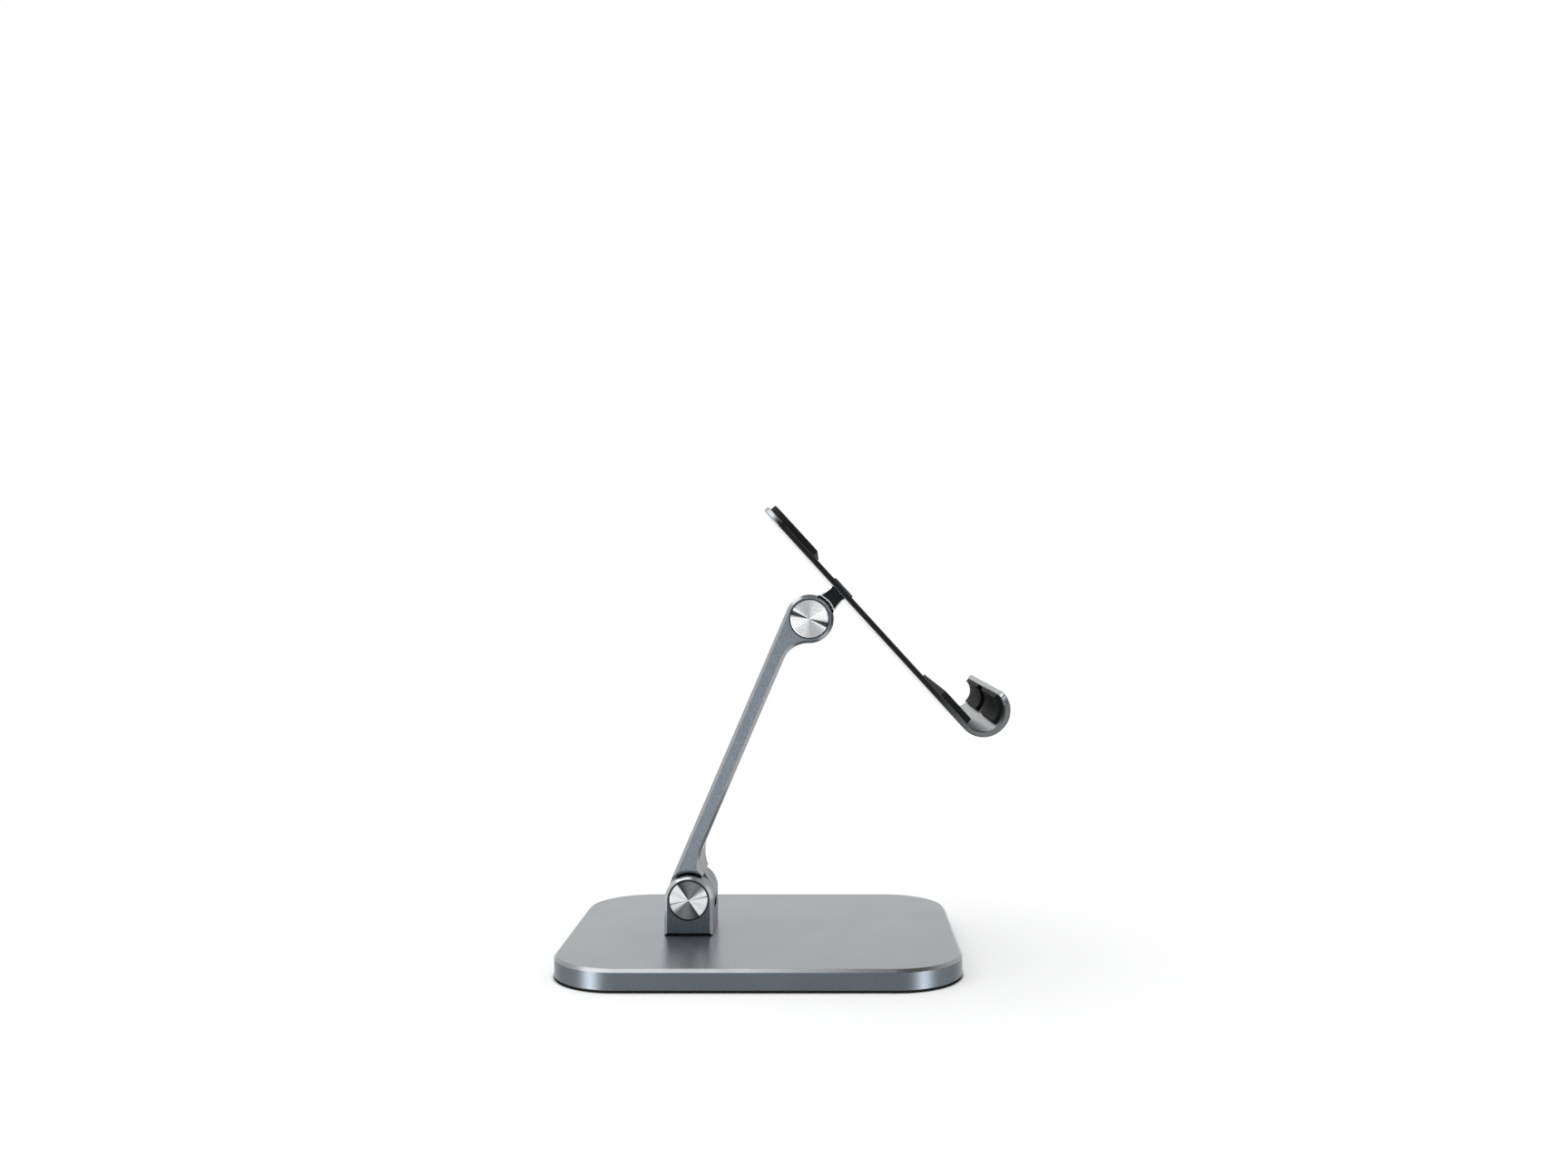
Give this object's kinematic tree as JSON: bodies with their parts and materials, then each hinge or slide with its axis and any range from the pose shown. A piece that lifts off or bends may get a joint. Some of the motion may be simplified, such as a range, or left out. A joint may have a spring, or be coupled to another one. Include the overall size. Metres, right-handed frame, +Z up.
{
  "type": "tablet stand",
  "caption": "Adjustable desk stand for a tablet: weighted flat base, leaning friction-hinged arm and a tilting tray with a folded lip and rubber pads.",
  "frame": {"origin": "centre of the base's underside, on the table", "axes": "+X to the user, +Y to the user's right hand, +Z up"},
  "size_m": [0.1764, 0.13, 0.1834],
  "materials": {
    "anodised_grey": "bead-blasted and anodised, satin, space grey",
    "anodised_dark": "bead-blasted and anodised, satin, dark grey",
    "plate_black": "fine bead-blasted, dark anodised",
    "spun_cap": "radially spun, bright",
    "steel_raw": "mill finish, oiled",
    "steel_zinc": "zinc plated",
    "steel_spring": "blued spring steel",
    "bronze": "sintered bronze, oiled",
    "black_polymer": "matte, slightly waxy",
    "rubber_black": "matte silicone rubber"
  },
  "bodies": {
    "base": {"base_shell": "anodised_grey", "counterweight_plate": "steel_raw", "counterweight_screws": "steel_zinc", "foot_pad": "rubber_black", "base_bracket": "anodised_dark", "base_bracket_screws": "steel_zinc", "lower_hinge_bolt": "steel_zinc", "lower_hinge_nut": "steel_zinc", "lower_disc_springs": "steel_spring", "lower_friction_washers": "black_polymer", "lower_cap_left": "spun_cap", "lower_cap_right": "spun_cap"},
    "arm": {"arm": "anodised_grey", "lower_hinge_bush": "bronze", "upper_hinge_bolt": "steel_zinc", "upper_hinge_nut": "steel_zinc", "upper_disc_springs": "steel_spring", "upper_friction_washers": "black_polymer", "upper_cap_left": "spun_cap", "upper_cap_right": "spun_cap"},
    "tray": {"tray_bracket": "anodised_dark", "upper_hinge_bush": "bronze", "tray_bracket_screws": "steel_zinc", "tray_plate": "plate_black", "top_pad": "rubber_black", "lower_pad": "rubber_black", "screw_cover": "black_polymer", "lip_pad_left": "rubber_black", "lip_pad_right": "rubber_black"}
  },
  "joints": [
    {"name": "arm_tilt", "type": "hinge", "parent": "base", "child": "arm", "pos_m": [-0.03, 0, 0.0233], "axis": [0, 1, 0], "range_deg": [-45, 22]},
    {"name": "tray_tilt", "type": "hinge", "parent": "arm", "child": "tray", "pos_m": [0.01974, 0, 0.13907], "axis": [0, 1, 0], "range_deg": [-57, 43]}
  ]
}
